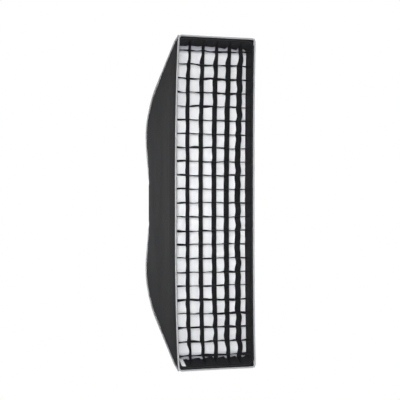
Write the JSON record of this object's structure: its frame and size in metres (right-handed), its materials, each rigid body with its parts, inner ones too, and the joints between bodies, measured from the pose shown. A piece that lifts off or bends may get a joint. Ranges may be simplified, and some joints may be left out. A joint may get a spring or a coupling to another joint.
{
  "type": "strip softbox",
  "caption": "Rod-framed strip softbox of black nylon: silver lining, white diffuser and inner baffle, fabric egg-crate grid, and a turning speed ring on a bayonet.",
  "frame": {"origin": "centre of the light's opening on the bayonet's seat plane", "axes": "+Y towards the light along the opening's axis, so the softbox shines towards -Y; +Z along its long side"},
  "size_m": [0.3106, 0.5495, 1.21],
  "materials": {
    "shell_nylon": "black coated nylon, slight sheen",
    "silver_lining": "silver coated lining",
    "grey_piping": "light grey woven piping over a cord",
    "hook_and_loop": "black hook-and-loop tape",
    "diffusion_cloth": "white translucent diffusion cloth",
    "grid_fabric": "matt black stiffened fabric",
    "woven_label": "blank white woven tape",
    "elastic": "black woven elastic",
    "press_stud": "black enamelled press stud",
    "spring_steel": "polished spring steel",
    "vinyl_cap": "soft black vinyl",
    "black_aluminium": "black powder coat",
    "bare_aluminium": "turned aluminium",
    "zinc_screw": "zinc plated",
    "moulded_knob": "moulded black plastic"
  },
  "bodies": {
    "mount": {"bayonet_ring": "bare_aluminium", "retaining_ring": "bare_aluminium", "retaining_screws": "zinc_screw"},
    "lock_stud": {"lock_stud": "zinc_screw"},
    "lock_knob": {"lock_knob": "moulded_knob"},
    "diffuser": {"diffuser_sheet": "diffusion_cloth", "diffuser_hook_border": "hook_and_loop"},
    "grid": {"grid_crosspieces": "grid_fabric", "grid_uprights": "grid_fabric", "grid_hook_border": "hook_and_loop", "label_tab": "woven_label"},
    "softbox": {"panel_left": "shell_nylon", "panel_right": "shell_nylon", "panel_bottom": "shell_nylon", "panel_top": "shell_nylon", "rear_collar": "shell_nylon", "corner_pockets": "shell_nylon", "rod_keepers": "shell_nylon", "lip_left": "shell_nylon", "lip_right": "shell_nylon", "lip_bottom": "shell_nylon", "lip_top": "shell_nylon", "lining_left": "silver_lining", "lining_right": "silver_lining", "lining_bottom": "silver_lining", "lining_top": "silver_lining", "seam_piping_bottom_left": "grey_piping", "seam_piping_bottom_right": "grey_piping", "seam_piping_top_left": "grey_piping", "seam_piping_top_right": "grey_piping", "rim_piping": "grey_piping", "grid_loop_tape": "hook_and_loop", "diffuser_loop_tape": "hook_and_loop", "baffle_sheet": "diffusion_cloth", "baffle_straps": "elastic", "collar_elastic": "elastic", "baffle_press_studs": "press_stud", "rod_bottom_left": "spring_steel", "rod_bottom_right": "spring_steel", "rod_top_left": "spring_steel", "rod_top_right": "spring_steel", "rod_caps": "vinyl_cap", "speed_ring": "black_aluminium", "rod_socket_bottom_left": "black_aluminium", "rod_socket_bottom_right": "black_aluminium", "rod_socket_top_left": "black_aluminium", "rod_socket_top_right": "black_aluminium", "socket_screws": "zinc_screw"}
  },
  "joints": [
    {"name": "ring_rotation", "type": "hinge", "parent": "mount", "child": "softbox", "pos_m": [0, 0, 0], "axis": [0, 1, 0], "continuous": true},
    {"name": "lock_travel", "type": "slide", "parent": "softbox", "child": "lock_stud", "axis": [1, 0, 0], "range_m": [0, 0.0015]},
    {"name": "lock_turn", "type": "hinge", "parent": "lock_stud", "child": "lock_knob", "pos_m": [0.071, -0.0125, 0], "axis": [1, 0, 0], "range_deg": [0, 541]},
    {"name": "diffuser_pull", "type": "slide", "parent": "softbox", "child": "diffuser", "axis": [0, -1, 0], "range_m": [0, 0.12]},
    {"name": "grid_pull", "type": "slide", "parent": "diffuser", "child": "grid", "axis": [0, -1, 0], "range_m": [0, 0.12]}
  ],
  "couplings": [
    {"joint": "lock_turn", "follows": "lock_travel", "rad_per_m": 6283.2}
  ]
}
